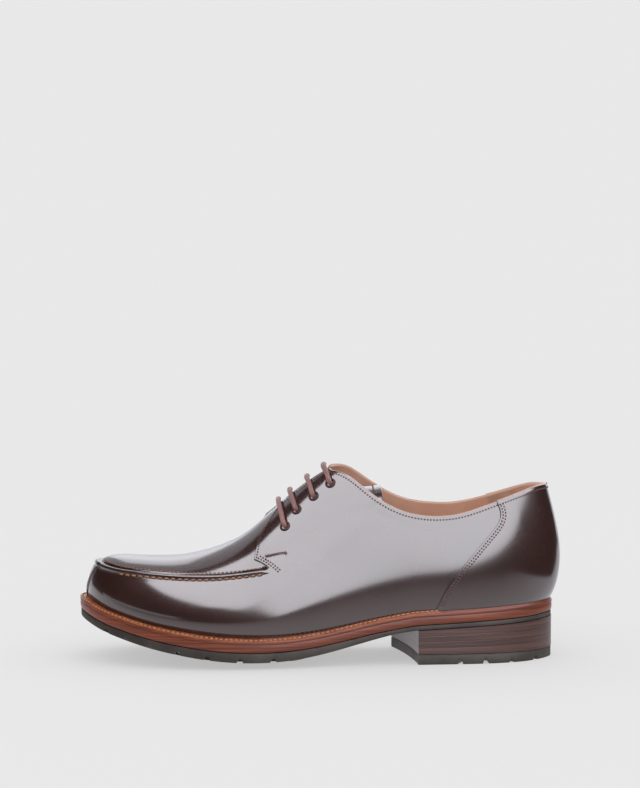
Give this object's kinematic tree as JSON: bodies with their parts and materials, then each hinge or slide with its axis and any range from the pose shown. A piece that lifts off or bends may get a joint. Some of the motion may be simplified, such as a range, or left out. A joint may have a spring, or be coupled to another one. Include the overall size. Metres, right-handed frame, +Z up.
{
  "type": "norwegian derby",
  "caption": "Left dress shoe: norwegian derby with split toe, raised apron seam, open lacing, welted leather midsole, lugged rubber outsole and stacked heel.",
  "frame": {"origin": "middle of the shoe's bounding box, on the floor that its sole stands on", "axes": "+Z up, toe towards -X, heel towards +X, lateral (outer) side of the foot towards -Y"},
  "size_m": [0.3039, 0.1035, 0.1239],
  "materials": {
    "upper_leather": "polished smooth calf, dark brown",
    "lining_leather": "natural tan lining leather, matt",
    "sole_leather": "stained and waxed sole leather edge",
    "heel_leather": "stained stacked leather",
    "rubber": "moulded black rubber, matt",
    "lace_cord": "round braided waxed cotton cord",
    "eyelet_metal": "brown enamelled brass eyelet"
  },
  "bodies": {
    "root": {"eyelet_lateral_1": "eyelet_metal", "eyelet_lateral_2": "eyelet_metal", "eyelet_lateral_3": "eyelet_metal", "eyelet_lateral_4": "eyelet_metal", "eyelet_medial_1": "eyelet_metal", "eyelet_medial_2": "eyelet_metal", "eyelet_medial_3": "eyelet_metal", "eyelet_medial_4": "eyelet_metal", "heel_lift_1": "heel_leather", "heel_lift_2": "heel_leather", "heel_lift_3": "heel_leather", "heel_lift_4": "heel_leather", "heel_top_piece": "rubber", "insole": "lining_leather", "lace_bar_1": "lace_cord", "lace_bar_2": "lace_cord", "lace_bar_3": "lace_cord", "lace_bar_4": "lace_cord", "midsole": "sole_leather", "outsole": "rubber", "tongue": "upper_leather", "upper": "upper_leather", "welt": "sole_leather"}
  },
  "joints": []
}
